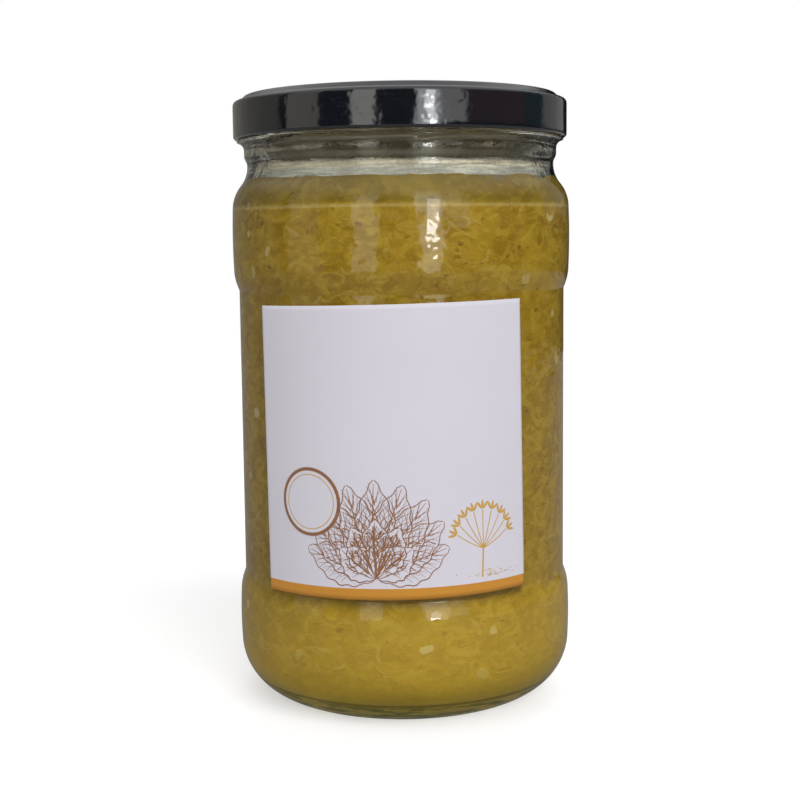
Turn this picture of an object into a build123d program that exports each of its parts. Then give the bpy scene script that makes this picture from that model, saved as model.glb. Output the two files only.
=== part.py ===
from build123d import *
import math
import os

# A tall round food jar: a glass body with a recessed label panel, a twist-off steel lid,
# a square paper label and the grated cabbage inside. Millimetres, +Z up, base at Z = 0,
# label towards -Y. Outlines are drawn as (radius, height) and spun about the Z axis.

# Glass body, from the base up
body_radius = 43.15  # the plain bands below and above the label panel, at their ends
band_bulge = 0.15  # how far each band swells at its middle
heel_radius = 14.8  # round corner between the base and the lower band
lower_band_height = 11.8
panel_recess = 1.27  # the label panel lies this far inside the bands
panel_height = 72.5
step_edge_radius = 13.0  # round edge of each band, where it drops to the panel
step_root_radius = 1.2  # hollow corner at the foot of that drop
upper_band_height = 14.8
shoulder_height = 11.0
shoulder_drop = 3.95  # from the upper band in to the waist of the neck

# Glass finish, above the waist
collar_swell = 0.75  # low round ring above the waist
collar_rise = 2.7
collar_land = 1.1
bead_flank_radius = 2.3  # hollow under the bead
bead_swell = 1.8  # the bead stands this far out of the collar
bead_thickness = 0.3
bead_edge = 0.2
thread_root_in = 0.35  # the threaded wall lies this far inside the collar
finish_height = 9.95  # top of the bead to the rim
rim_round = 1.3

# Glass walls
wall = 2.3
neck_wall = 2.6
base_thickness = 5.0
base_push_up = 2.6
floor_swell = 1.4
dome_fullness = 0.85  # height of each dome half way out, as a share of its middle
foot_width = 2.0  # flat ring that the jar stands on
inner_step_height = 9.0  # the inside of each step is softer than the outside
inner_shoulder_extra = 1.0  # the inside of the shoulder is this much longer at each end

# Thread starts: short ridges that climb to the right, one for each lug of the lid
thread_count = 6
thread_ridge = 1.15  # radius of the ridge's round section
thread_height = 1.3
thread_end_round = 0.9
thread_climb = 1 / 9
thread_sweep = 60.0  # degrees
first_thread = -23.0  # azimuth of a thread's middle, from the front towards the right

# Lid, pressed from coated steel sheet
sheet = 0.28
hem_clearance = 0.1  # thread crest to the inside of the hem
lid_lift = 0.25  # top of the bead to the bottom of the lid
curl_radius = 0.8  # outside of the hem rolled in at the bottom
curl_sweep = 270.0
shoulder_fall = 1.5  # the skirt's top corner lies this far below the lid's top
ring_inner = 37.0
ring_round = 0.7
ring_slope_width = 1.3
ledge_width = 1.7
ledge_rise = 0.15
ledge_round = 0.45
corner_round = 1.3
panel_depth = 1.1  # the middle of the lid lies this far below its ring
panel_slope_width = 0.7
button_radius = 12.0
button_height = 0.35
button_slope_width = 0.7
button_round = 0.3
lining = 0.9  # sealing compound bonded into the ring, under the sheet
lining_overlap = 0.1  # into the sheet above, which it is bonded to
lining_draft = 0.2
seat_clearance = 0.02  # rim to the lining
lug_height = 1.1
lug_lift = 0.2
lug_reach = 1.15  # inward from the hem
lug_width = 11.0  # degrees
lug_clearance = 0.1  # under its thread

# Label, wrapped on the panel
label_width = 70.3  # along the curve
label_margin = 1.25  # panel left bare above and below it
label_drop = 0.77  # the label sits this far below the panel's middle
label_shift = -3.69  # along the curve, from the front towards the right
label_turn = 1.16  # degrees, right side higher
label_thickness = 0.12
label_standoff = 0.05

# Contents
headspace = 19.3  # rim to the highest point of the cabbage
surface_swell = 1.2
contents_gap = 0.05

# Heights and radii that follow from the sizes above
panel_radius = body_radius - panel_recess
step_sum = step_edge_radius + step_root_radius
step_height = math.sqrt(panel_recess * (2 * step_sum - panel_recess))
step_share = step_edge_radius / step_sum
lower_band_top = heel_radius + lower_band_height
panel_bottom = lower_band_top + step_height
panel_top = panel_bottom + panel_height
upper_band_bottom = panel_top + step_height
upper_band_top = upper_band_bottom + upper_band_height
waist_height = upper_band_top + shoulder_height
waist_radius = body_radius - shoulder_drop
collar_radius = waist_radius + collar_swell
collar_height = waist_height + collar_rise
flank_height = collar_height + collar_land
bead_radius = collar_radius + bead_swell
flank_angle = math.acos(1 - bead_swell / bead_flank_radius)
bead_bottom = flank_height + bead_flank_radius * math.sin(flank_angle)
bead_top = bead_bottom + bead_thickness
thread_root = collar_radius - thread_root_in
thread_crest = thread_root + thread_height
rim_height = bead_top + finish_height
neck_bore = waist_radius - neck_wall
foot_radius = body_radius - heel_radius

lid_bottom = bead_top + lid_lift
lid_top = rim_height + seat_clearance + lining + sheet
lid_radius = thread_crest + hem_clearance + 2 * curl_radius
curl_height = lid_bottom + curl_radius
lug_bottom = lid_bottom + lug_lift
lug_top = lug_bottom + lug_height
lug_inner = lid_radius - 2 * curl_radius - lug_reach


def smooth_step(start, end, share=0.5):
    """Two arcs, tangent to each other, from one upright wall up to another."""
    middle = tuple(a + share * (b - a) for a, b in zip(start, end))
    leave = TangentArc(start, middle, tangent=(0, 1))
    arrive = TangentArc(end, middle, tangent=(0, -1))
    return [leave, arrive]


def swelling_band(bottom, top):
    """The outside of a band between two heights, swollen at its middle."""
    middle = (body_radius + band_bulge, (bottom + top) / 2)
    return ThreePointArc((body_radius, bottom), middle, (body_radius, top))


def spun(edges, sweep=360.0):
    """A closed outline of (radius, height) edges, spun about the Z axis."""
    return revolve(Plane.XZ * make_face(Curve() + edges), Axis.Z, sweep)


def turned_to(azimuth, shape):
    """A shape made at +X, turned to an azimuth counted from the front, -Y, towards +X."""
    return Rot(Z=azimuth - 90) * shape


def outside():
    """The glass as if solid: base, heel, bands, panel, shoulder, collar, bead and threaded wall."""
    foot_inner = foot_radius - foot_width
    flank_centre = (collar_radius + bead_flank_radius, flank_height)
    flank_sweep = -math.degrees(flank_angle)
    crest_inner = neck_bore + rim_round
    rim_shoulder = rim_height - rim_round
    push_up_halfway = (foot_inner / 2, base_push_up * dome_fullness)
    edges = [
        ThreePointArc((0, base_push_up), push_up_halfway, (foot_inner, 0)),
        Line((foot_inner, 0), (foot_radius, 0)),
        CenterArc((foot_radius, heel_radius), heel_radius, 270, 90),
        swelling_band(heel_radius, lower_band_top),
        *smooth_step((body_radius, lower_band_top), (panel_radius, panel_bottom), step_share),
        Line((panel_radius, panel_bottom), (panel_radius, panel_top)),
        *smooth_step((panel_radius, panel_top), (body_radius, upper_band_bottom), 1 - step_share),
        swelling_band(upper_band_bottom, upper_band_top),
        *smooth_step((body_radius, upper_band_top), (waist_radius, waist_height)),
        *smooth_step((waist_radius, waist_height), (collar_radius, collar_height)),
        Line((collar_radius, collar_height), (collar_radius, flank_height)),
        CenterArc(flank_centre, bead_flank_radius, 180, flank_sweep),
        Line((bead_radius, bead_bottom), (bead_radius, bead_top - bead_edge)),
        Line((bead_radius, bead_top - bead_edge), (bead_radius - bead_edge, bead_top)),
        Line((bead_radius - bead_edge, bead_top), (thread_root, bead_top)),
        Line((thread_root, bead_top), (thread_root, rim_shoulder)),
        CenterArc((thread_root - rim_round, rim_shoulder), rim_round, 0, 90),
        Line((thread_root - rim_round, rim_height), (crest_inner, rim_height)),
        Line((crest_inner, rim_height), (0, rim_height)),
        Line((0, rim_height), (0, base_push_up)),
    ]
    return spun(edges)


def cavity(gap, mouth_round):
    """The space inside the glass, all round smaller by a gap, up past the rim."""
    band = body_radius - wall - gap
    panel = panel_radius - wall - gap
    bore = neck_bore - gap
    floor = base_thickness + gap
    heel = heel_radius - wall - gap
    spread = (inner_step_height - step_height) / 2
    lower_band = lower_band_top - spread
    panel_low = panel_bottom + spread
    panel_high = panel_top - spread
    upper_band = upper_band_bottom + spread
    shoulder_low = upper_band_top - inner_shoulder_extra
    shoulder_high = waist_height + inner_shoulder_extra
    flare = rim_height - mouth_round
    floor_edge = (band - heel, floor)
    floor_halfway = ((band - heel) / 2, floor + floor_swell * dome_fullness)
    edges = [
        ThreePointArc((0, floor + floor_swell), floor_halfway, floor_edge),
        CenterArc((band - heel, floor + heel), heel, 270, 90),
        Line((band, floor + heel), (band, lower_band)),
        *smooth_step((band, lower_band), (panel, panel_low)),
        Line((panel, panel_low), (panel, panel_high)),
        *smooth_step((panel, panel_high), (band, upper_band)),
        Line((band, upper_band), (band, shoulder_low)),
        *smooth_step((band, shoulder_low), (bore, shoulder_high)),
        Line((bore, shoulder_high), (bore, flare)),
        CenterArc((bore + mouth_round, flare), mouth_round, 180, -90),
        Line((bore + mouth_round, rim_height), (0, rim_height)),
        Line((0, rim_height), (0, floor + floor_swell)),
    ]
    return spun(edges)


def thread_start():
    """One ridge at +X: a round section carried along a ring that leans, so it climbs evenly."""
    centre_radius = thread_crest - thread_ridge
    lean = math.degrees(math.atan(thread_climb))
    end = thread_sweep / 2
    lug_from = end - lug_width
    climb_at_lug = centre_radius * math.sin(math.radians(lug_from)) * math.sin(math.radians(lean))
    middle = lug_top + lug_clearance + thread_ridge - climb_at_lug
    section = Plane.XZ * Pos(centre_radius, 0) * Circle(thread_ridge)
    ridge = Rot(Z=-end) * revolve(section, Axis.Z, thread_sweep)
    end_rims = ridge.faces().filter_by(GeomType.PLANE).edges()
    ridge = fillet(end_rims, thread_end_round)
    return Pos(0, 0, middle) * Rot(X=lean) * ridge


def glass_jar():
    """Body, neck and finish blown as one piece."""
    jar = outside() - cavity(0, rim_round)
    for index in range(thread_count):
        jar += turned_to(first_thread + index * 360 / thread_count, thread_start())
    return jar


def kraut():
    """Finely grated cabbage, filling the jar to just above the shoulder."""
    level = rim_height - headspace
    edge = (body_radius, level - surface_swell)
    side = Line((0, 0), (body_radius, 0)) + Line((body_radius, 0), edge)
    swell = TangentArc((0, level), edge, tangent=(1, 0))
    below = spun([side, swell, Line((0, level), (0, 0))])
    return cavity(contents_gap, rim_round) & below


def lid_sheet():
    """The pressed steel: rolled hem, skirt, ledge, raised ring, sunk middle and button."""
    ring_outer = lid_radius - ledge_width - ring_slope_width
    ledge_height = lid_top - shoulder_fall + ledge_rise
    middle_height = lid_top - panel_depth
    curl_centre = (lid_radius - curl_radius, curl_height)
    curl = CenterArc(curl_centre, curl_radius, 360 - curl_sweep, curl_sweep)
    corners = [
        (lid_radius, curl_height),
        (lid_radius, lid_top - shoulder_fall),
        (ring_outer + ring_slope_width, ledge_height),
        (ring_outer, lid_top),
        (ring_inner, lid_top),
        (ring_inner - panel_slope_width, middle_height),
        (button_radius + button_slope_width, middle_height),
        (button_radius, middle_height + button_height),
        (0, middle_height + button_height),
    ]
    rounds = [corner_round, ledge_round, ring_round, ring_round, ledge_round]
    rounds += [button_round, button_round]
    top = FilletPolyline(*corners, radius=rounds)
    outline = offset(Curve() + [curl, top], amount=sheet, side=Side.LEFT, closed=True)
    return spun([outline])


def lid_lining():
    """Sealing compound that fills the ring from below and rests on the glass rim."""
    low = rim_height + seat_clearance
    high = lid_top - sheet + lining_overlap
    ring_outer = lid_radius - ledge_width - ring_slope_width
    corners = [
        (ring_inner - panel_slope_width / 2, low),
        (ring_outer + ring_slope_width / 2, low),
        (ring_outer - lining_draft, high),
        (ring_inner + lining_draft, high),
    ]
    return spun([Polyline(*corners, close=True)])


def lug():
    """One inward fold of the hem at +X, which catches under a thread."""
    hem = lid_radius - curl_radius
    corners = [(lug_inner, lug_bottom), (hem, lug_bottom), (hem, lug_top), (lug_inner, lug_top)]
    return spun([Polyline(*corners, close=True)], lug_width)


def lid():
    """Twist-off cap: one pressed sheet with its bonded lining and its lugs."""
    cap = lid_sheet() + lid_lining()
    for index in range(thread_count):
        start = first_thread + thread_sweep / 2 - lug_width + index * 360 / thread_count
        cap += turned_to(start, lug())
    return cap


def label():
    """A square of paper wrapped on the panel, a little to the left and a little turned."""
    inner = panel_radius + label_standoff
    outer = inner + label_thickness
    height = panel_height - 2 * label_margin
    centre_height = (panel_bottom + panel_top) / 2 - label_drop
    tall = 2 * height
    ring = Cylinder(outer, tall) - Cylinder(inner, tall)
    slab = Rot(X=label_turn) * Box(4 * outer, 4 * outer, height)
    half_angle = math.degrees(label_width / 2 / inner)
    front_half = Pos(2 * outer, 0, 0) * Box(4 * outer, 4 * outer, tall)
    beyond = Pos(0, 2 * outer, 0) * Box(8 * outer, 4 * outer, 2 * tall)
    paper = ring & slab & front_half
    for side, half_turn in ((1, 0), (-1, 180)):
        paper -= Rot(Z=side * half_angle) * Rot(X=label_turn) * Rot(Z=half_turn) * beyond
    shift = math.degrees(label_shift / inner)
    return Pos(0, 0, centre_height) * turned_to(shift, paper)


parts = {
    "glass_jar": glass_jar(),
    "kraut": kraut(),
    "lid": lid(),
    "label": label(),
}
os.makedirs("parts", exist_ok=True)
for node, shape in parts.items():
    export_step(shape, f"parts/{node}.step")
    print(node, len(shape.solids()), "solid,", round(shape.volume / 1000, 2), "cm3")
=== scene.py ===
import math
import bpy
import numpy as np
from mathutils import Matrix, Vector


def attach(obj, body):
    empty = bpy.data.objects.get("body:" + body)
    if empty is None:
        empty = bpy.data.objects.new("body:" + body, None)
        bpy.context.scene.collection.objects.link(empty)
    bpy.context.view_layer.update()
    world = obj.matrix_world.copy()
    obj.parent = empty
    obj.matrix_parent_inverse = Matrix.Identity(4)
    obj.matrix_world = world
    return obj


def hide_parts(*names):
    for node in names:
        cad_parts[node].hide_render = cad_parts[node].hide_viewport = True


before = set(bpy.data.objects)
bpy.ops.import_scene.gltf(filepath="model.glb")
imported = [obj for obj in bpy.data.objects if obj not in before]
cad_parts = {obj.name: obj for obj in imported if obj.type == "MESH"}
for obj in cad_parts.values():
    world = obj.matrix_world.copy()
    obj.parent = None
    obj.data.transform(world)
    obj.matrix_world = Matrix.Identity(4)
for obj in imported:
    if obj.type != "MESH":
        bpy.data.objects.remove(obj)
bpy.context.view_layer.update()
mm = 0.001
seed = 20
print("frame loaded:", sorted(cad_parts))


# shader maths

class Wire:
    # one output socket; + - * / on it add Math nodes to the same tree
    def __init__(self, paint, socket):
        self.paint = paint
        self.socket = socket

    def calc(self, operation, first, second=0.0):
        return self.paint.node("ShaderNodeMath", {"operation": operation}, {0: first, 1: second})

    def __add__(self, other):
        return self.calc("ADD", self, other)

    def __radd__(self, other):
        return self.calc("ADD", other, self)

    def __sub__(self, other):
        return self.calc("SUBTRACT", self, other)

    def __rsub__(self, other):
        return self.calc("SUBTRACT", other, self)

    def __mul__(self, other):
        return self.calc("MULTIPLY", self, other)

    def __rmul__(self, other):
        return self.calc("MULTIPLY", other, self)

    def __pow__(self, other):
        return self.calc("POWER", self, other)

    def high(self, other):
        return self.calc("MAXIMUM", self, other)

    # the angle of the flat vector (other, self), in degrees
    def angle(self, other):
        return self.calc("ARCTAN2", self, other) * (180 / math.pi)

    # 0 below start, 1 above end, smooth between
    def rise(self, start, end):
        settings = {"interpolation_type": "SMOOTHSTEP", "clamp": True}
        return self.paint.node("ShaderNodeMapRange", settings, {0: self, 1: start, 2: end, 3: 0.0, 4: 1.0})

    # 1 between the two edges, falling to 0 over a soft width outside them
    def between(self, start, end, soft):
        return self.rise(start - soft, start) * (1 - self.rise(end, end + soft))


class Paint:
    # the node tree of a material or a world
    def __init__(self, owner):
        self.owner = owner
        owner.use_nodes = True
        self.tree = owner.node_tree
        self.tree.nodes.clear()

    # makes any node: its type, its settings, then values or links for its sockets
    def node(self, kind, settings=None, sockets=None, out=0):
        made = self.tree.nodes.new(kind)
        for name, value in (settings or {}).items():
            setattr(made, name, value)
        for name, value in (sockets or {}).items():
            if isinstance(value, Wire):
                self.tree.links.new(value.socket, made.inputs[name])
            else:
                target = made.inputs[name]
                wide = hasattr(target.default_value, "__len__") and len(target.default_value) == 4
                target.default_value = (*value, 1) if wide and len(value) == 3 else value
        return Wire(self, made.outputs[out]) if len(made.outputs) else None

    def mix(self, factor, first, second, blend="MIX"):
        settings = {"data_type": "RGBA", "blend_type": blend, "clamp_factor": True}
        return self.node("ShaderNodeMix", settings, {0: factor, 6: first, 7: second}, out=2)

    def noise(self, vector, scale, detail=2.0, roughness=0.5, distortion=0.0):
        values = {"Vector": vector, "Scale": scale, "Detail": detail, "Roughness": roughness}
        values["Distortion"] = distortion
        return self.node("ShaderNodeTexNoise", {"noise_dimensions": "3D"}, values, out="Fac")

    def stretched(self, vector, scale):
        sockets = {"Vector": vector, "Scale": scale}
        return self.node("ShaderNodeMapping", {"vector_type": "POINT"}, sockets)

    def place(self):
        return self.node("ShaderNodeTexCoord", out="Object")

    def parts(self, vector):
        split = self.node("ShaderNodeSeparateXYZ", None, {0: vector})
        outs = split.socket.node.outputs
        return [Wire(self, outs[i]) for i in range(3)]

    def bump(self, height, strength, distance):
        sockets = {"Height": height, "Strength": strength, "Distance": distance}
        return self.node("ShaderNodeBump", None, sockets)

    def attribute(self, name, out="Fac"):
        return self.node("ShaderNodeAttribute", {"attribute_name": name}, out=out)

    def surface(self, sockets):
        shader = self.node("ShaderNodeBsdfPrincipled", None, sockets)
        self.node("ShaderNodeOutputMaterial", None, {"Surface": shader})
        return self.owner


def newPaint(name):
    return Paint(bpy.data.materials.new(name))


# surfaces from arrays

# quads of a grid of rows x columns, columns closed round into a ring
def ringFaces(rows, columns, start=0):
    i, j = np.meshgrid(np.arange(rows - 1), np.arange(columns), indexing="ij")
    k = (j + 1) % columns
    quads = np.stack([i * columns + j, i * columns + k, (i + 1) * columns + k, (i + 1) * columns + j], -1)
    return quads.reshape(-1, 4) + start


# quads of an open grid of rows x columns
def sheetFaces(rows, columns, start=0):
    i, j = np.meshgrid(np.arange(rows - 1), np.arange(columns - 1), indexing="ij")
    low = i * columns + j
    quads = np.stack([low, low + 1, low + columns + 1, low + columns], -1)
    return quads.reshape(-1, 4) + start


def addPiece(name, points, faces, material, smooth=True, attributes=None):
    mesh = bpy.data.meshes.new(name)
    mesh.from_pydata(points.tolist(), [], list(faces))
    for key, values in (attributes or {}).items():
        layer = mesh.attributes.new(key, "FLOAT", "POINT")
        layer.data.foreach_set("value", values.astype(np.float32))
    mesh.polygons.foreach_set("use_smooth", np.full(len(mesh.polygons), smooth))
    mesh.update()
    mesh.validate()
    piece = bpy.data.objects.new(name, mesh)
    bpy.context.scene.collection.objects.link(piece)
    piece.data.materials.append(material)
    return piece


# a profile of (radius, height) rows, carried round the axis: x = r sin a, y = -r cos a, z = h,
# so angle 0 is the front and grows towards +X; r and h may also differ from column to column
def spin(radius, height, angle):
    x = radius * np.sin(angle)
    y = -radius * np.cos(angle)
    return np.stack(np.broadcast_arrays(x, y, height), -1)


# quads from a band's last ring back to its first
def closingFaces(last, columns):
    j = np.arange(columns)
    k = (j + 1) % columns
    return np.stack([last + j, last + k, k, j], -1)


# closes the first and last ring of a spun grid with a fan to a point on the axis
def poleFaces(ringStart, columns, pole, upward):
    j = np.arange(columns)
    k = (j + 1) % columns
    tri = np.stack([ringStart + j, ringStart + k, np.full(columns, pole)], -1)
    return tri if upward else tri[:, ::-1]


# two arcs, tangent to each other and upright at both ends, between two points of an outline:
# r = r0 + s p (1 - cos t), z = z0 + p sin t, then the same from the far end with the other radius
def stepCurve(start, end, share=0.5, count=10):
    (r0, z0), (r1, z1) = start, end
    drop, tall = abs(r1 - r0), abs(z1 - z0)
    radii = (drop ** 2 + tall ** 2) / (2 * drop)
    top = math.asin(min(1, tall / radii))
    side, up = np.sign(r1 - r0), np.sign(z1 - z0)
    t = np.linspace(0, top, count)
    first = share * radii
    second = radii - first
    a = np.stack([r0 + side * first * (1 - np.cos(t)), z0 + up * first * np.sin(t)], -1)
    t = t[::-1][1:]
    b = np.stack([r1 - side * second * (1 - np.cos(t)), z1 - up * second * np.sin(t)], -1)
    return np.concatenate([a, b])


# points of an arc: centre + radius (cos t, sin t), from one angle to another, in degrees
def arcCurve(centre, radius, start, end, count):
    t = np.radians(np.linspace(start, end, count))
    return np.stack([centre[0] + radius * np.cos(t), centre[1] + radius * np.sin(t)], -1)


# a band that swells by a parabola between two heights
def bandCurve(radius, swell, bottom, top, count):
    t = np.linspace(0, 1, count)
    return np.stack([radius + swell * 4 * t * (1 - t), bottom + (top - bottom) * t], -1)


def straight(start, end, count=2):
    t = np.linspace(0, 1, count)[:, None]
    return np.array(start) * (1 - t) + np.array(end) * t


# joins outline stretches, dropping points that repeat
def joined(*stretches):
    points = np.concatenate([np.atleast_2d(np.array(s, float)) for s in stretches])
    apart = np.linalg.norm(np.diff(points, axis=0), axis=1) > 1e-5
    return points[np.concatenate([[True], apart])]


# sizes, in millimetres

jar = {
    "bodyRadius": 43.15, "bandSwell": 0.15, "heelRadius": 14.8,
    "lowerBand": 11.8, "panelIn": 1.27, "panelTall": 72.5, "stepEdge": 13.0, "stepRoot": 1.2,
    "upperBand": 14.8, "shoulderTall": 11.0, "shoulderIn": 3.95,
    "collarOut": 0.75, "collarRise": 2.7, "collarLand": 1.1,
    "flankRadius": 2.3, "beadOut": 1.8, "beadThick": 0.3, "beadEdge": 0.2,
    "rootIn": 0.35, "finishTall": 9.95, "rimRound": 1.3,
    "wall": 2.3, "neckWall": 2.6, "base": 5.0, "pushUp": 2.6, "floorSwell": 1.4, "footWide": 2.0,
    "innerStep": 9.0, "innerExtra": 1.0,
    "threads": 6, "ridge": 1.15, "ridgeOut": 1.3, "climb": 1 / 9, "sweep": 60.0, "firstThread": -23.0,
    "threadMiddle": 144.35, "runOut": 0.22, "seam": 0.05, "columns": 288,
}
stepSum = jar["stepEdge"] + jar["stepRoot"]
stepTall = math.sqrt(jar["panelIn"] * (2 * stepSum - jar["panelIn"]))
stepShare = jar["stepEdge"] / stepSum
panelRadius = jar["bodyRadius"] - jar["panelIn"]
lowerTop = jar["heelRadius"] + jar["lowerBand"]
panelLow = lowerTop + stepTall
panelHigh = panelLow + jar["panelTall"]
upperLow = panelHigh + stepTall
upperTop = upperLow + jar["upperBand"]
waistHigh = upperTop + jar["shoulderTall"]
waistRadius = jar["bodyRadius"] - jar["shoulderIn"]
collarRadius = waistRadius + jar["collarOut"]
collarHigh = waistHigh + jar["collarRise"]
flankHigh = collarHigh + jar["collarLand"]
beadRadius = collarRadius + jar["beadOut"]
flankAngle = math.acos(1 - jar["beadOut"] / jar["flankRadius"])
beadLow = flankHigh + jar["flankRadius"] * math.sin(flankAngle)
beadTop = beadLow + jar["beadThick"]
rootRadius = collarRadius - jar["rootIn"]
rimHigh = beadTop + jar["finishTall"]
boreRadius = waistRadius - jar["neckWall"]


# the outside of the glass, from the middle of the base to the rim's crest
def glassOutline():
    foot = jar["bodyRadius"] - jar["heelRadius"]
    footIn = foot - jar["footWide"]
    t = np.linspace(0.02, 1, 14)
    pushUp = np.stack([footIn * t, jar["pushUp"] * (1 - t ** 2.6)], -1)
    shoulderRim = rimHigh - jar["rimRound"]
    return joined(
        pushUp, (foot, 0),
        arcCurve((foot, jar["heelRadius"]), jar["heelRadius"], -90, 0, 26),
        bandCurve(jar["bodyRadius"], jar["bandSwell"], jar["heelRadius"], lowerTop, 10),
        stepCurve((jar["bodyRadius"], lowerTop), (panelRadius, panelLow), stepShare, 8),
        straight((panelRadius, panelLow), (panelRadius, panelHigh), 10),
        stepCurve((panelRadius, panelHigh), (jar["bodyRadius"], upperLow), 1 - stepShare, 8),
        bandCurve(jar["bodyRadius"], jar["bandSwell"], upperLow, upperTop, 10),
        stepCurve((jar["bodyRadius"], upperTop), (waistRadius, waistHigh), 0.55, 14),
        stepCurve((waistRadius, waistHigh), (collarRadius, collarHigh), 0.5, 7),
        straight((collarRadius, collarHigh), (collarRadius, flankHigh), 4),
        arcCurve((collarRadius + jar["flankRadius"], flankHigh), jar["flankRadius"], 180,
                 180 - math.degrees(flankAngle), 14),
        (beadRadius, beadTop - jar["beadEdge"]), (beadRadius - jar["beadEdge"], beadTop),
        (beadRadius - 1.0, beadTop + 0.02), (rootRadius, beadTop + 0.05),
        straight((rootRadius, beadTop + 0.3), (rootRadius, shoulderRim), 34),
        arcCurve((rootRadius - jar["rimRound"], shoulderRim), jar["rimRound"], 0, 90, 9),
    )


# the inside of the glass, from the rim's crest down to the middle of the floor
def cavityOutline(grow=0.0):
    band = jar["bodyRadius"] - jar["wall"] + grow
    panel = panelRadius - jar["wall"] + grow
    bore = boreRadius + grow
    base = jar["base"] - grow
    heel = jar["heelRadius"] - jar["wall"] + grow
    spread = (jar["innerStep"] - stepTall) / 2
    shoulderRim = rimHigh - jar["rimRound"]
    t = np.linspace(1, 0.02, 12)
    floorDome = np.stack([(band - heel) * t, base + jar["floorSwell"] * (1 - t ** 2.6)], -1)
    return joined(
        arcCurve((boreRadius + jar["rimRound"], shoulderRim), jar["rimRound"], 90, 180, 9)
        + np.array([grow, 0]),
        straight((bore, shoulderRim), (bore, waistHigh + jar["innerExtra"]), 12),
        stepCurve((bore, waistHigh + jar["innerExtra"]), (band, upperTop - jar["innerExtra"]), 0.5, 12),
        straight((band, upperTop - jar["innerExtra"]), (band, upperLow + spread), 4),
        stepCurve((band, upperLow + spread), (panel, panelHigh - spread), 0.5, 8),
        straight((panel, panelHigh - spread), (panel, panelLow + spread), 8),
        stepCurve((panel, panelLow + spread), (band, lowerTop - spread), 0.5, 8),
        straight((band, lowerTop - spread), (band, base + heel), 5),
        arcCurve((band - heel, base + heel), heel, 0, -90, 22),
        floorDome,
    )


# how far the glass stands out of its spun outline: thread ridges r = c + sqrt(w^2 - (z - zc)^2) on a
# line zc that climbs with the angle, fuller run-outs under each thread's low end, and two mould seams
def glassRelief(radius, height, angle):
    out = radius.copy()
    centre = rootRadius + jar["ridgeOut"] - jar["ridge"]
    lean = math.atan(jar["climb"])
    inFinish = (height > flankHigh - 1.5) & (height < rimHigh - 1.2)
    for k in range(jar["threads"]):
        middle = math.radians(jar["firstThread"] + 360 / jar["threads"] * k)
        turn = (angle - middle + math.pi) % (2 * math.pi) - math.pi
        half = math.radians(jar["sweep"] / 2)
        line = jar["threadMiddle"] + centre * np.sin(np.clip(turn, -half, half)) * math.sin(lean)
        beyond = np.maximum(np.abs(turn) - half, 0) * centre
        away = np.hypot(height - line, beyond)
        ridge = centre + np.sqrt(np.maximum(jar["ridge"] ** 2 - away ** 2, 0))
        out = np.where(inFinish & (away < jar["ridge"]), np.maximum(out, ridge), out)
        start = (turn + half - math.radians(1.0)) / math.radians(7.0)
        bulge = np.exp(-start ** 2) * np.exp(-((height - flankHigh - 0.9) / 1.0) ** 2)
        out += jar["runOut"] * bulge * (height < beadLow)
    for seamAt in (8.0, -172.0):
        turn = (angle - math.radians(seamAt) + math.pi) % (2 * math.pi) - math.pi
        onWall = (height > 3) & (height < beadLow)
        out += jar["seam"] * np.exp(-(turn / math.radians(0.8)) ** 2) * onWall
    return out


# heights where the glass's look changes, in metres
tint = {
    "baseHigh": 0.0062, "shadowLineLow": 0.0060, "shadowLineHigh": 0.0066, "shoulderShadeLow": 0.1262, "shoulderShadeHigh": 0.1345,
    "stainLow": 0.1352, "stainHigh": 0.1525, "landLow": 0.1358, "landHigh": 0.1425,
}


# clear glass: green where it is thick at the base, with painted pale streaks of floor light in the green and
# a painted shadow line above it; painted shade over the shoulder, stained in the neck
def glassPaint():
    paint = newPaint("clear_glass")
    where = paint.place()
    z = paint.parts(where)[2]
    ripple = paint.noise(where, 160, 2.0, 0.5)
    streaks = paint.noise(paint.stretched(where, (120, 120, 900)), 1.0, 3.0, 0.6)
    pitted = paint.noise(where, 420, 3.0, 0.65)
    clear = paint.mix(ripple, (0.965, 0.97, 0.94), (0.95, 0.96, 0.92))
    # the green of the thick base glass, with pale streaks of painted light from the floor seen through it
    thickGreenAndFloorLight = paint.mix(streaks.rise(0.46, 0.54), (0.15, 0.27, 0.14), (0.95, 1.0, 0.92))
    # painted shade: the glass over the shoulder is darkened to stand in for the lid's shadow and the dark
    # reflected there
    shoulderShade = paint.mix(ripple, (0.66, 0.70, 0.66), (0.76, 0.79, 0.74))
    stain = paint.mix(pitted.rise(0.35, 0.65), (0.94, 0.915, 0.78), (0.99, 0.98, 0.88))
    shoulder = z.between(tint["shoulderShadeLow"], tint["shoulderShadeHigh"], 0.0006)
    neck = z.between(tint["stainLow"], tint["stainHigh"], 0.001)
    colour = paint.mix(shoulder, clear, shoulderShade)
    colour = paint.mix(neck, colour, stain)
    # painted shadow: a dark band just above the green base, standing in for the shade at the cabbage's bottom
    # edge
    colour = paint.mix(z.between(tint["shadowLineLow"], tint["shadowLineHigh"], 0.0003), colour, (0.26, 0.28, 0.18))
    colour = paint.mix(1 - z.rise(tint["baseHigh"] - 0.0008, tint["baseHigh"]), colour, thickGreenAndFloorLight)
    land = z.between(tint["landLow"], tint["landHigh"], 0.0006)
    fine = paint.noise(where, 640, 2.0, 0.5)
    height = ripple * 0.7 + fine * 0.045 + pitted * 0.35 * land
    return paint.surface({
        "Base Color": colour, "Roughness": 0.012 + 0.06 * land * pitted, "IOR": 1.5,
        "Transmission Weight": 1.0, "Normal": paint.bump(height, 0.35, 0.0009),
    })


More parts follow.
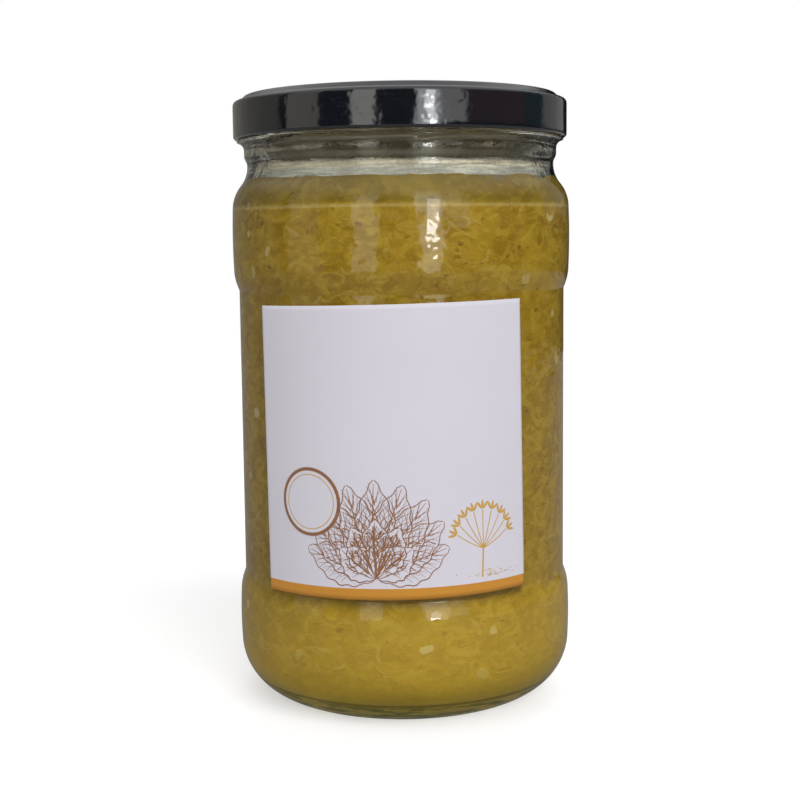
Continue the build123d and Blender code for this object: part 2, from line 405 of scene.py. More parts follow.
def makeGlass():
    outer = glassOutline()
    inner = cavityOutline()
    columns = jar["columns"]
    angle = np.linspace(0, 2 * math.pi, columns, endpoint=False)[None, :]
    ro = np.repeat(outer[:, :1], columns, 1)
    zo = np.repeat(outer[:, 1:], columns, 1)
    ro = glassRelief(ro, zo, np.repeat(angle, len(outer), 0))
    outside = spin(ro, zo, angle)
    inside = spin(inner[1:, :1], inner[1:, 1:], angle)
    grid = np.concatenate([outside, inside])
    rows = len(grid)
    poles = np.array([[0, 0, jar["pushUp"]], [0, 0, jar["base"] + jar["floorSwell"]]])
    points = np.concatenate([grid.reshape(-1, 3), poles]) * mm
    n = rows * columns
    faces = [*ringFaces(rows, columns).tolist(),
             *poleFaces(0, columns, n, False).tolist(),
             *poleFaces((rows - 1) * columns, columns, n + 1, True).tolist()]
    piece = addPiece("jar_glass", points, faces, glassPaint())
    piece.visible_shadow = False  # light reaches what is inside
    return piece


glass = makeGlass()
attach(glass, "root")
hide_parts("glass_jar")
print("glass made:", len(glass.data.polygons), "faces")


# the cabbage

kraut = {
    "level": rimHigh - 19.3, "edgeDrop": 1.2, "reach": 0.12, "lumps": 0.9, "columns": 200,
    "shreds": 420, "flakes": 1500, "specks": 340, "paleLumps": 60, "topShreds": 900,
    "toneBend": 1.6,
}
inner = cavityOutline()
wallLine = inner[inner[:, 1] < kraut["level"] + 8]
wallLine = wallLine[np.argsort(wallLine[:, 1], kind="stable")]


# radius of the glass's inside at a height, on the wall above the floor's edge
def wallRadius(height):
    rising = wallLine[wallLine[:, 0] > jar["bodyRadius"] - jar["heelRadius"] - 1.0]
    return np.interp(height, rising[:, 1], rising[:, 0])


# smooth bumps over the plane: a sum of sines with fixed random directions and phases
def lumpy(x, y, rng, waves=14, shortest=6.0, longest=26.0):
    total = 0
    for _ in range(waves):
        length = rng.uniform(shortest, longest)
        turn, phase = rng.uniform(0, 2 * math.pi, 2)
        total = total + length * np.sin(2 * math.pi / length * (x * np.cos(turn) + y * np.sin(turn)) + phase)
    return total / (waves * longest * 0.35)


# height of the heap's top: a low swell that falls to the wall, with lumps
def topHeight(x, y):
    spread = np.hypot(x, y) / boreRadius
    rng = np.random.default_rng(seed)
    lumps = lumpy(x, y, rng) * (1 - 0.5 * np.clip(spread, 0, 1) ** 4)
    return kraut["level"] - kraut["edgeDrop"] * spread ** 2 + kraut["lumps"] * lumps


# painted light and shade by height: paler and yellower low down where light from the floor falls, a painted
# pale highlight line, then painted shade over the shoulder
def lightAndShadeByHeight(paint, z, colour):
    # painted light: paler and yellower low in the jar, where light from the floor falls
    colour = paint.mix(0.34 * (1 - z.rise(0.020, 0.040)), colour, (0.70, 0.475, 0.045))
    colour = paint.mix(0.40 * (1 - z.rise(0.008, 0.019)), colour, (0.80, 0.52, 0.015))
    top = tint["shoulderShadeLow"]
    # painted highlight: a pale line just below where the shoulder's shade starts
    colour = paint.mix(0.30 * z.between(top - 0.0006, top - 0.0002, 0.0004), colour, (0.62, 0.52, 0.22))
    # painted shade over the shoulder
    return paint.mix(0.36 * z.rise(top, top + 0.0008), colour, (0.09, 0.075, 0.022))


# wet mustard-yellow mash: broad clouds, ragged pale and dark scraps, small brown specks; painted light makes
# it paler and yellower low in the jar, a painted pale line and painted shade lie at the shoulder, and pale
# green light is painted under it, where light comes through the thick base
def mashColour(paint, where):
    x, y, z = paint.parts(where)
    clouds = paint.noise(where, 75, 3.0, 0.55, 0.4)
    scraps = paint.noise(paint.stretched(where, (170, 170, 260)), 1.0, 5.0, 0.60, 1.4)
    fibres = paint.noise(paint.stretched(where, (330, 330, 900)), 1.0, 4.0, 0.6, 2.2)
    fine = paint.noise(where, 1100, 3.0, 0.6, 0.3)
    specks = paint.noise(where, 520, 3.0, 0.55, 0.8)
    base = paint.mix(clouds.rise(0.34, 0.66), (0.300, 0.183, 0.0085), (0.385, 0.247, 0.0150))
    base = paint.mix(0.65 * scraps.rise(0.50, 0.60), base, (0.455, 0.312, 0.032))
    base = paint.mix(0.50 * (1 - scraps.rise(0.38, 0.46)), base, (0.240, 0.135, 0.0050))
    base = paint.mix(0.35 * fibres.rise(0.56, 0.66), base, (0.52, 0.385, 0.062))
    base = paint.mix(0.25 * (1 - fibres.rise(0.33, 0.42)), base, (0.225, 0.118, 0.0040))
    base = paint.mix(0.55 * specks.rise(0.67, 0.73), base, (0.175, 0.078, 0.0025))
    base = paint.mix(0.15 * fine.rise(0.45, 0.75), base, (0.42, 0.30, 0.045))
    base = lightAndShadeByHeight(paint, z, base)
    across = (x * x + y * y) ** 0.5
    domeHigh = (jar["base"] + jar["floorSwell"]) * mm
    # painted light: pale green under the cabbage, where light comes through the thick base
    under = (1 - across.rise(0.0262, 0.0276)) * (1 - z.rise(domeHigh - 0.0002, domeHigh + 0.0003))
    base = paint.mix(under, base, (0.37, 0.42, 0.21))
    return base, clouds, scraps, fine


def mashPaint():
    paint = newPaint("kraut_mash")
    where = paint.place()
    base, clouds, scraps, fine = mashColour(paint, where)
    height = clouds * 0.6 + scraps * 0.3 + fine * 0.1
    return paint.surface({
        "Base Color": base, "Roughness": 0.42 + 0.2 * fine, "Specular IOR Level": 0.25,
        "Normal": paint.bump(height, 0.5, 0.0012),
    })


# the core: the cavity's outline reaching just into the wall, topped by the uneven heap
def makeCore():
    line = cavityOutline(kraut["reach"])
    columns = kraut["columns"]
    angle = np.linspace(0, 2 * math.pi, columns, endpoint=False)[None, :]
    lowest = kraut["level"] - kraut["edgeDrop"] - 2.2
    below = line[line[:, 1] < lowest][::-1]
    edgeRadius = wallRadius(np.array([kraut["level"] - kraut["edgeDrop"]]))[0] + kraut["reach"]
    share = np.linspace(1, 0.03, 26)[:, None]
    topRadius = np.repeat(edgeRadius * share, columns, 1)
    x = topRadius * np.sin(angle)
    y = -topRadius * np.cos(angle)
    top = np.stack([x, y, topHeight(x, y)], -1)
    body = spin(below[:, :1], below[:, 1:], angle)
    grid = np.concatenate([body, top])
    rows = len(grid)
    peak = topHeight(np.zeros(1), np.zeros(1))[0]
    base = jar["base"] + jar["floorSwell"] - kraut["reach"]
    points = np.concatenate([grid.reshape(-1, 3), [[0, 0, base], [0, 0, peak]]]) * mm
    n = rows * columns
    faces = [*ringFaces(rows, columns).tolist(),
             *poleFaces(0, columns, n, False).tolist(),
             *poleFaces((rows - 1) * columns, columns, n + 1, True).tolist()]
    return addPiece("kraut_core", points, faces, mashPaint())


# many slim pieces lying on the wall: each a bent strip of stations x 4 corners, its middle line
# a + s u + curl sin(pi u) along the wall, its width w (1 - (2u - 1)^4), its back sunk in the core
def wallStrips(rng, count, length, width, proud, curl, upright, lowHigh, stations=6):
    n = count
    height = rng.uniform(lowHigh[0], lowHigh[1], n)
    angle = rng.uniform(-math.pi, math.pi, n)
    tilt = rng.normal(upright, 0.75, n)
    size = rng.uniform(*length, n)
    wide = rng.uniform(*width, n)
    bend = rng.normal(0, curl, n) * size
    u = np.linspace(0, 1, stations)[None, :]
    along = (u - 0.5) * size[:, None]
    side = bend[:, None] * np.sin(math.pi * u)
    shape = wide[:, None] / 2 * (1 - np.abs(2 * u - 1) ** 3.0) ** 0.5 + 0.03
    pieces = []
    for across, depth in ((-1, -0.25), (1, -0.25), (0.65, 1.0), (-0.65, 1.0)):
        off = side + across * shape
        s = along * np.cos(tilt)[:, None] - off * np.sin(tilt)[:, None]
        v = along * np.sin(tilt)[:, None] + off * np.cos(tilt)[:, None]
        z = np.clip(height[:, None] + v, jar["base"] + 1.2, kraut["level"] - 1.0)
        r = wallRadius(z) + kraut["reach"] + depth * rng.uniform(*proud, n)[:, None]
        a = angle[:, None] + s / r
        pieces.append(np.stack([r * np.sin(a), -r * np.cos(a), z], -1))
    grid = np.stack(pieces, 2)
    return grid, rng.uniform(0, 1, n)


# four long sides and two end caps for each strip of stations x 4 corners
def stripFaces(count, stations):
    i = np.arange(stations - 1)[:, None] * 4
    c = np.arange(4)[None, :]
    d = (c + 1) % 4
    sides = np.stack([i + c, i + d, i + 4 + d, i + 4 + c], -1).reshape(-1, 4)
    last = (stations - 1) * 4
    caps = np.array([[3, 2, 1, 0], [last, last + 1, last + 2, last + 3]])
    one = np.concatenate([sides, caps])
    return (one[None] + (np.arange(count) * stations * 4)[:, None, None]).reshape(-1, 4)


def addStrips(name, grid, tone, material):
    count, stations = grid.shape[:2]
    solid = np.zeros((count, stations, 4))
    solid[:, 1:-1, 2:] = 1  # full colour on the front's middle, none at its rims and ends
    values = {"tone": np.repeat(tone, stations * 4), "solid": solid.ravel()}
    faces = stripFaces(count, stations)
    return addPiece(name, grid.reshape(-1, 3) * mm, faces.tolist(), material, False, values)


# shred colours run between two tones, and ragged noise at their rims melts them into the mash
def shredPaint(name, dark, light, melt):
    paint = newPaint(name)
    where = paint.place()
    base, *_, fine = mashColour(paint, where)
    z = paint.parts(where)[2]
    # the shreds' own colour takes the same painted light and shade by height
    own = lightAndShadeByHeight(paint, z, paint.mix(paint.attribute("tone"), dark, light))
    ragged = paint.noise(where, 700, 4.0, 0.7, 1.0)
    show = (paint.attribute("solid") + 2.4 * (ragged - 0.5)).rise(0.40, 0.90) * (1 - melt)
    colour = paint.mix(show, base, own)
    return paint.surface({
        "Base Color": colour, "Roughness": 0.4 + 0.15 * fine, "Specular IOR Level": 0.25,
        "Normal": paint.bump(fine, 0.3, 0.0006),
    })


# dried brine and froth on the wall above the cabbage: a thin closed film inside the neck,
# radius bore - gap at height h, pale and patchy, clear elsewhere
film = {"low": -1.4, "high": 3.2, "gap": 0.04, "thick": 0.05, "rows": 12, "columns": 160}


def makeFilm():
    height = kraut["level"] + np.linspace(film["low"], film["high"], film["rows"])
    height = np.concatenate([height, height[::-1]])[:, None]
    inset = np.repeat([film["gap"], film["gap"] + film["thick"]], film["rows"])[:, None]
    radius = wallRadius(height) - inset
    angle = np.linspace(0, 2 * math.pi, film["columns"], endpoint=False)[None, :]
    grid = spin(radius, height, angle)
    faces = ringFaces(len(grid), film["columns"]).tolist()
    faces += closingFaces((len(grid) - 1) * film["columns"], film["columns"]).tolist()
    return addPiece("neck_film", grid.reshape(-1, 3) * mm, faces, filmPaint())


def filmPaint():
    paint = newPaint("brine_film")
    where = paint.place()
    z = paint.parts(where)[2]
    streaks = paint.noise(paint.stretched(where, (90, 90, 1100)), 1.0, 4.0, 0.6, 0.6)
    froth = paint.noise(where, 1300, 3.0, 0.65)
    broad = paint.noise(where, 60, 2.0, 0.5)
    show = (0.40 + 0.9 * streaks.rise(0.44, 0.62) * broad.rise(0.35, 0.6)) * (0.35 + 0.9 * froth)
    top = (kraut["level"] + film["high"]) * mm
    show = show * (1 - z.rise(top - 0.0012, top - 0.0001))
    pale = paint.mix(froth, (0.72, 0.68, 0.56), (0.95, 0.92, 0.84))
    shader = paint.node("ShaderNodeBsdfPrincipled", None, {
        "Base Color": pale, "Roughness": 0.35 + 0.3 * froth, "Normal": paint.bump(froth, 0.4, 0.0004),
    })
    clear = paint.node("ShaderNodeBsdfTransparent", None, {"Color": (1, 1, 1)})
    both = paint.node("ShaderNodeMixShader", None, {0: show, 1: clear, 2: shader})
    paint.node("ShaderNodeOutputMaterial", None, {"Surface": both})
    return paint.owner


core = makeCore()
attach(core, "root")
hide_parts("kraut")

rng = np.random.default_rng(seed + 1)
zone = (jar["base"] + 1.5, kraut["level"] - 1.2)
# name, count, length, width, how proud, curl, lean, dark tone, light tone, share that melts away
strands = [
    ("kraut_soft_flakes", kraut["flakes"], (2.0, 6.0), (1.1, 2.8), (0.04, 0.08), 0.10, 0.2,
     (0.235, 0.135, 0.0055), (0.43, 0.305, 0.045), 0.55),
    ("kraut_pale_shreds", kraut["shreds"], (2.5, 7.5), (0.7, 1.4), (0.06, 0.10), 0.10, 0.1,
     (0.36, 0.24, 0.02), (0.49, 0.37, 0.09), 0.55),
    ("kraut_brown_specks", kraut["specks"], (0.8, 2.6), (0.5, 1.3), (0.07, 0.12), 0.18, 0.0,
     (0.15, 0.066, 0.002), (0.235, 0.115, 0.003), 0.45),
    ("kraut_pale_lumps", kraut["paleLumps"], (2.0, 4.6), (1.6, 3.2), (0.08, 0.13), 0.10, 0.4,
     (0.47, 0.37, 0.10), (0.62, 0.54, 0.25), 0.25),
]
for name, count, length, width, proud, curl, upright, dark, light, melt in strands:
    grid, tone = wallStrips(rng, count, length, width, proud, curl, upright, zone)
    piece = addStrips(name, grid, tone ** kraut["toneBend"], shredPaint(name, dark, light, melt))
    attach(piece, "root")


# loose shreds on the heap's top, each following the top's height and arched a little above it
def makeTopShreds(count, stations=6):
    rng = np.random.default_rng(seed + 2)
    spot = np.sqrt(rng.uniform(0, 1, count)) * (boreRadius - 2.5)
    at = rng.uniform(0, 2 * math.pi, count)
    turn = rng.uniform(0, math.pi, count)
    size = rng.uniform(2.5, 8.0, count)
    wide = rng.uniform(0.35, 0.9, count)
    bend = rng.normal(0, 0.12, count) * size
    u = np.linspace(0, 1, stations)[None, :]
    pieces = []
    for across, lift in ((-1, -0.2), (1, -0.2), (0.7, 0.35), (-0.7, 0.35)):
        along = (u - 0.5) * size[:, None]
        off = bend[:, None] * np.sin(math.pi * u) + across * wide[:, None] / 2
        x = (spot * np.sin(at))[:, None] + along * np.cos(turn)[:, None] - off * np.sin(turn)[:, None]
        y = (spot * np.cos(at))[:, None] + along * np.sin(turn)[:, None] + off * np.cos(turn)[:, None]
        far = np.maximum(np.hypot(x, y) / (boreRadius - 0.6), 1)
        x, y = x / far, y / far
        z = topHeight(x, y) + lift + 0.45 * np.sin(math.pi * u) * rng.uniform(0, 1, count)[:, None]
        pieces.append(np.stack([x, y, z], -1))
    tone = rng.uniform(0, 1, count)
    paint = shredPaint("kraut_top_shreds", (0.36, 0.25, 0.04), (0.60, 0.47, 0.17), 0.25)
    return addStrips("kraut_top_shreds", np.stack(pieces, 2), tone, paint)


neckFilm = makeFilm()
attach(neckFilm, "root")

topShreds = makeTopShreds(kraut["topShreds"])
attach(topShreds, "root")
print("cabbage made")


# the lid

lid = {
    "sheet": 0.28, "hemGap": 0.1, "lift": 0.25, "curl": 0.8, "fall": 1.5, "ringIn": 37.0,
    "ringSlope": 1.3, "ledge": 1.7, "ledgeRise": 0.15, "middleIn": 1.1, "middleSlope": 0.7,
    "button": 12.0, "buttonUp": 0.35, "lining": 0.9, "seat": 0.02, "columns": 240,
    "lugWide": 11.0, "lugTall": 1.1, "lugLift": 0.2, "lugReach": 1.15,
}
lidLow = beadTop + lid["lift"]
lidHigh = rimHigh + lid["seat"] + lid["lining"] + lid["sheet"]
lidRadius = rootRadius + jar["ridgeOut"] + lid["hemGap"] + 2 * lid["curl"]


# corners of an outline rounded by a quadratic curve that leaves each corner's two sides a cut away
def rounded(corners, cuts, count=6):
    corners = np.array(corners, float)
    out = [corners[:1]]
    for before, at, after, cut in zip(corners, corners[1:], corners[2:], cuts):
        a = at + (before - at) / np.linalg.norm(before - at) * cut
        b = at + (after - at) / np.linalg.norm(after - at) * cut
        t = np.linspace(0, 1, count)[:, None]
        out.append(a * (1 - t) ** 2 + 2 * at * t * (1 - t) + b * t ** 2)
    out.append(corners[-1:])
    return np.concatenate(out)


def makeLid():
    ringOut = lidRadius - lid["ledge"] - lid["ringSlope"]
    ledgeHigh = lidHigh - lid["fall"] + lid["ledgeRise"]
    middle = lidHigh - lid["middleIn"]
    button = lid["button"]
    corners = [
        (lidRadius, lidLow + lid["curl"]), (lidRadius, lidHigh - lid["fall"] + 0.05),
        (ringOut + lid["ringSlope"], ledgeHigh), (ringOut, lidHigh), (lid["ringIn"], lidHigh),
        (lid["ringIn"] - lid["middleSlope"], middle), (button + 0.7, middle),
        (button, middle + lid["buttonUp"]), (1.0, middle + lid["buttonUp"]),
    ]
    top = rounded(corners, [1.15, 0.35, 0.5, 0.5, 0.35, 0.25, 0.25])
    curlAt = (lidRadius - lid["curl"], lidLow + lid["curl"])
    hem = arcCurve(curlAt, lid["curl"], 90, 360, 20)
    outer = joined(hem, straight(top[0], top[1], 8), top[2:])
    run = np.gradient(outer, axis=0)
    run /= np.linalg.norm(run, axis=1)[:, None]
    under = outer + np.stack([-run[:, 1], run[:, 0]], -1) * lid["sheet"]
    lining = (under[:, 1] > lidHigh - 1.4) & (under[:, 0] > 36.75) & (under[:, 0] < 40.3)
    under[lining, 1] = np.minimum(under[lining, 1], lidHigh - lid["sheet"] - lid["lining"])
    line = np.concatenate([outer, under[::-1]])
    columns = lid["columns"]
    angle = np.linspace(0, 2 * math.pi, columns, endpoint=False)[None, :]
    grid = spin(line[:, :1], line[:, 1:], angle)
    rows = len(grid)
    n = rows * columns
    # the outline is a closed band: the last ring joins the first at the hem's end, poles at the middle
    half = len(outer)
    poles = [[0, 0, middle + lid["buttonUp"]], [0, 0, middle + lid["buttonUp"] - lid["sheet"]]]
    points = np.concatenate([grid.reshape(-1, 3), poles])
    quads = ringFaces(half, columns).tolist()
    quads += ringFaces(rows - half, columns, half * columns).tolist()
    quads += closingFaces((rows - 1) * columns, columns).tolist()
    quads += poleFaces((half - 1) * columns, columns, n, True).tolist()
    quads += poleFaces(half * columns, columns, n + 1, False).tolist()
    inner = np.zeros(n + 2)
    inner[half * columns:n] = 1
    inner[n + 1] = 1
    return addPiece("lid_shell", points * mm, quads, lidPaint(), attributes={"inner": inner})


# gloss black enamel with dust, faint scuffs and a slightly uneven pressing; cream lacquer inside
def lidPaint():
    paint = newPaint("lid_enamel")
    where = paint.place()
    dust = paint.noise(where, 1900, 2.0, 0.7).rise(0.67, 0.78)
    patch = paint.noise(where, 55, 2.0, 0.5).rise(0.45, 0.7)
    scuff = paint.noise(paint.stretched(where, (500, 500, 2600)), 1.0, 3.0, 0.6).rise(0.6, 0.8)
    orange = paint.noise(where, 240, 2.0, 0.5)
    broad = paint.noise(where, 85, 2.0, 0.5)
    colour = paint.mix(0.3 * dust * patch, (0.0050, 0.0058, 0.0080), (0.16, 0.16, 0.155))
    inside = paint.attribute("inner").rise(0.4, 0.6)
    colour = paint.mix(inside, colour, (0.78, 0.74, 0.60))
    return paint.surface({
        "Base Color": colour, "Roughness": 0.09 + 0.16 * scuff * patch + 0.2 * dust + 0.25 * inside,
        "Specular IOR Level": 0.8, "Coat Weight": 0.6, "Coat Roughness": 0.05,
        "Normal": paint.bump(orange + 1.6 * broad + 0.15 * dust, 0.3, 0.0006),
    })


# bends a circle's sine or cosine towards a square: sign(c) |c|^0.45
def squared(c):
    return np.sign(c) * np.abs(c) ** 0.45


# an inward fold of the hem: a rounded block across the arc, r and z around a loop at each station
def makeLugs():
    inn = lidRadius - 2 * lid["curl"] - lid["lugReach"]
    out = lidRadius - lid["curl"]
    low = lidLow + lid["lugLift"]
    high = low + lid["lugTall"]
    t = np.linspace(0, 2 * math.pi, 16, endpoint=False)
    loopR = (inn + out) / 2 + (out - inn) / 2 * squared(np.cos(t))
    loopZ = (low + high) / 2 + (high - low) / 2 * squared(np.sin(t))
    u = np.linspace(-1, 1, 14)
    pinch = (1 - np.abs(u) ** 6) ** 0.5 * 0.98 + 0.02
    points, faces = [], []
    for k in range(jar["threads"]):
        middle = jar["firstThread"] + jar["sweep"] / 2 - lid["lugWide"] / 2 + 360 / jar["threads"] * k
        a = np.radians(middle + u * lid["lugWide"] / 2)[:, None]
        r = out + (loopR - out)[None, :] * pinch[:, None]
        z = (low + high) / 2 + (loopZ - (low + high) / 2)[None, :] * pinch[:, None]
        start = k * (len(u) * len(t))
        points.append(spin(r, z, a).reshape(-1, 3))
        faces += ringFaces(len(u), len(t), start).tolist()
        faces += [list(range(start, start + len(t)))[::-1]]
        faces += [list(range(start + (len(u) - 1) * len(t), start + len(u) * len(t)))]
    return addPiece("lid_lugs", np.concatenate(points) * mm, faces, lidPaint())


lidShell = makeLid()
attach(lidShell, "root")
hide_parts("lid")
lugs = makeLugs()
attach(lugs, "root")
print("lid made")


# the label

label = {
    "wide": 70.3, "tall": 70.0, "drop": 0.77, "shift": -3.69, "turn": 1.16,
    "thick": 0.12, "standoff": 0.05, "band": 2.75,
}
labelMiddle = (panelLow + panelHigh) / 2 - label["drop"]


# a spot u, v on the flat label, from its middle, wrapped on the panel and lifted off it:
# turned in its own plane, then u runs round the axis and v runs up
def wrap(u, v, lift):
    turn = math.radians(label["turn"])
    r = panelRadius + label["standoff"] + lift
    along = label["shift"] + u * math.cos(turn) - v * math.sin(turn)
    a = along / (panelRadius + label["standoff"])
    z = labelMiddle + u * math.sin(turn) + v * math.cos(turn)
    return np.stack(np.broadcast_arrays(r * np.sin(a), -r * np.cos(a), z), -1)


# matt coated paper; the golden band is a field of colour along the bottom
def labelPaint():
    paint = newPaint("label_paper")
    where = paint.place()
    up = paint.attribute("labelUp")
    grain = paint.noise(where, 1500, 3.0, 0.6)
    tone = paint.noise(where, 28, 2.0, 0.5)
    white = paint.mix(tone, (0.60, 0.575, 0.635), (0.64, 0.615, 0.68))
    edge = label["band"] - label["tall"] / 2
    gold = paint.mix(grain, (0.50, 0.215, 0.022), (0.58, 0.26, 0.035))
    colour = paint.mix(1 - up.rise(edge - 0.04, edge + 0.04), white, gold)
    return paint.surface({
        "Base Color": colour, "Roughness": 0.5 + 0.1 * grain, "Specular IOR Level": 0.35,
        "Normal": paint.bump(grain * 0.3 + tone * 0.7, 0.1, 0.0004),
    })


def makeLabel():
    rows, columns = 60, 110
    u = np.linspace(-0.5, 0.5, columns)[None, :] * label["wide"]
    v = np.linspace(-0.5, 0.5, rows)[:, None] * label["tall"]
    u, v = np.broadcast_arrays(u, v)
    front = wrap(u, v, label["thick"])
    back = wrap(u, v, 0.0)
    n = rows * columns
    points = np.concatenate([front.reshape(-1, 3), back.reshape(-1, 3)])
    faces = sheetFaces(rows, columns).tolist()
    faces += sheetFaces(rows, columns, n)[:, ::-1].tolist()
    grid = np.arange(n).reshape(rows, columns)
    loop = np.concatenate([grid[0, :-1], grid[:-1, -1], grid[-1, :0:-1], grid[:0:-1, 0]])
    after = np.roll(loop, -1)
    faces += np.stack([loop, loop + n, after + n, after], -1).tolist()
    ups = np.concatenate([v.ravel(), v.ravel()])
    return addPiece("label_paper", points * mm, faces, labelPaint(), attributes={"labelUp": ups})


paper = makeLabel()
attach(paper, "root")
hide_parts("label")
print("label made")


# the print, as thin strokes of ink standing a hair above the paper
ink = {
    "sunk": 0.01, "proud": 0.006, "layer": 0.008, "brown": (0.25, 0.105, 0.038), "gold": (0.55, 0.32, 0.05),
}


def inkPaint(name, colour):
    paint = newPaint(name)
    where = paint.place()
    grain = paint.noise(where, 1700, 2.0, 0.6)
    worn = tuple(0.8 * c + 0.06 for c in colour)
    return paint.surface({
        "Base Color": paint.mix(grain.rise(0.35, 0.75), colour, worn), "Roughness": 0.42 + 0.15 * grain,
        "Specular IOR Level": 0.35,
    })


# strokes of (middle line, width, layer): each is a flat bar whose edges lie half a width to either
# side of the line, square to its run, and a higher layer lies over a lower one
def addStrokes(name, strokes, material):
    points, faces, start = [], [], 0
    for line, width, layer in strokes:
        line = np.array(line, float)
        run = np.gradient(line, axis=0)
        run /= np.linalg.norm(run, axis=1)[:, None] + 1e-9
        off = np.stack([-run[:, 1], run[:, 0]], -1) * (np.broadcast_to(width, len(line)) / 2)[:, None]
        low = label["thick"] - ink["sunk"]
        high = label["thick"] + ink["proud"] + ink["layer"] * layer
        left, right = line + off, line - off
        corners = [wrap(left[:, 0], left[:, 1], low), wrap(right[:, 0], right[:, 1], low),
                   wrap(right[:, 0], right[:, 1], high), wrap(left[:, 0], left[:, 1], high)]
        points.append(np.stack(corners, 1).reshape(-1, 3))
        faces += (stripFaces(1, len(line)) + start).tolist()
        start += len(line) * 4
    return addPiece(name, np.concatenate(points) * mm, faces, material, smooth=False)


def circleLine(u, v, radius, count=90):
    t = np.linspace(0, 2 * math.pi, count)
    return np.stack([u + radius * np.cos(t), v + radius * np.sin(t)], -1)


# a leaf of length l and half width w sin(pi s)^0.8 beside its midrib s: a fill of paper that hides
# what is behind it, then its outline, midrib and veins
def leafStrokes(foot, turn, length, wide, veins, layer):
    s = np.linspace(0.0, 1.0, 24)
    c, n = math.cos(turn), math.sin(turn)

    def place(a, b):
        return np.stack([foot[0] + a * c - b * n, foot[1] + a * n + b * c], -1)

    swell = wide * np.sin(math.pi * s) ** 0.8 * (1.15 - 0.3 * s)
    wave = 0.06 * wide * np.sin(s * 34)
    fine = 0.17 + 0.12 * np.sin(math.pi * s)
    fill = [(place(s * length, 0 * s), 2 * swell, layer)]
    lines = [(place(s * length, side * (swell + wave)), fine, layer + 0.5) for side in (-1, 1)]
    midrib = place(s * length * 0.96, 0.02 * length * np.sin(3 * s))
    lines.append((midrib, 0.50 * (1 - 0.75 * s), layer + 0.5))
    for k in range(veins):
        at = 0.24 + 0.60 * k / veins
        t = np.linspace(0, 1, 8)
        reach = np.interp(at + 0.13, s, swell) * 0.9
        for side in (-1, 1):
            along = length * (at + 0.17 * t ** 0.8 + 0.01 * side)
            lines.append((place(along, side * reach * t ** 1.2), 0.22 * (1 - 0.7 * t), layer + 0.5))
            hatch = along + 0.035 * length
            lines.append((place(hatch, side * reach * (0.30 + 0.45 * t)), 0.12 * (1 - 0.5 * t), layer + 0.5))
    return fill, lines


# a fan of veined leaves rising from one foot, the outer ones behind, and a low row in front
fan = {"foot": (-3.6, -29.6), "rows": [(9, 23.5, 4.9, 69.0, 7), (5, 14.0, 4.2, 52.0, 3)]}
badge = {"middle": (-20.3, -11.8), "outer": 7.9, "inner": 6.6, "rim": 0.80, "line": 0.22, "layer": 12}
fills, brown, layer = [], [], 0
for leaves, length, wide, spread, veins in fan["rows"]:
    shares = np.linspace(-1, 1, leaves)
    for share in shares[np.argsort(-np.abs(shares), kind="stable")]:
        turn = math.radians(90 - spread * share)
        fill, lines = leafStrokes(fan["foot"], turn, length * (1 - 0.2 * share ** 2), wide, veins, layer)
        fills += fill
        brown += lines
        layer += 0.75

# the badge: a bare disc with two rings
slant = np.linspace(-math.pi / 2, math.pi / 2, 40)
discU = badge["middle"][0] + badge["outer"] * np.sin(slant)
disc = np.stack([discU, badge["middle"][1] + 0 * slant], -1)
fills.append((disc, 2 * badge["outer"] * np.cos(slant), badge["layer"]))
brown.append((circleLine(*badge["middle"], badge["outer"]), badge["rim"], badge["layer"] + 1))

# an umbel of seeds: stalks that part from one point, slim seeds at each tip, grains by the foot
umbel = {"foot": (22.3, -31.0), "stem": 7.0, "rays": 9, "ray": 9.4, "spread": 60.0, "grains": 46}
gold = [(circleLine(*badge["middle"], badge["inner"]), badge["line"], badge["layer"] + 1)]
low = np.array(umbel["foot"])
fork = low + np.array([0.4, umbel["stem"]])
gold.append((low + (fork - low) * np.linspace(0, 1, 8)[:, None], 0.40, 0))
for k in range(umbel["rays"]):
    share = 2 * k / (umbel["rays"] - 1) - 1
    turn = math.radians(90 - umbel["spread"] * share)
    t = np.linspace(0, 1, 12)[:, None]
    aim = np.array([math.cos(turn), math.sin(turn)])
    side = np.array([-aim[1], aim[0]])
    reach = umbel["ray"] * (1 - 0.18 * share ** 2)
    gold.append((fork + aim * reach * t - side * share * 1.2 * t * (1 - t), 0.24, 0))
    slim = 0.62 * np.sin(math.pi * np.linspace(0.06, 0.97, 12)) ** 0.7
    for lean in (-0.65, 0.0, 0.65):
        out = np.array([math.cos(turn + lean), math.sin(turn + lean)])
        gold.append((fork + aim * reach + out * (0.3 + 2.1 * t), slim, 0))
rng = np.random.default_rng(seed + 3)
grainWidth = 0.26 * np.array([0.3, 0.9, 1, 0.9, 0.3])
for _ in range(umbel["grains"]):
    spot = low + np.array([rng.normal(3.2, 2.6), abs(rng.normal(0, 0.8)) + 0.15])
    step = np.array([math.cos(rng.uniform(-0.6, 0.6)), 0.2]) * rng.uniform(0.25, 0.55)
    gold.append((spot + step * np.linspace(-0.5, 0.5, 5)[:, None], grainWidth, 0))

prints = [
    ("label_print_fills", fills, labelPaint()),
    ("label_print_brown", brown, inkPaint("ink_brown", ink["brown"])),
    ("label_print_gold", gold, inkPaint("ink_gold", ink["gold"])),
]
for name, strokes, material in prints:
    piece = addStrokes(name, strokes, material)
    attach(piece, "root")
print("print made")


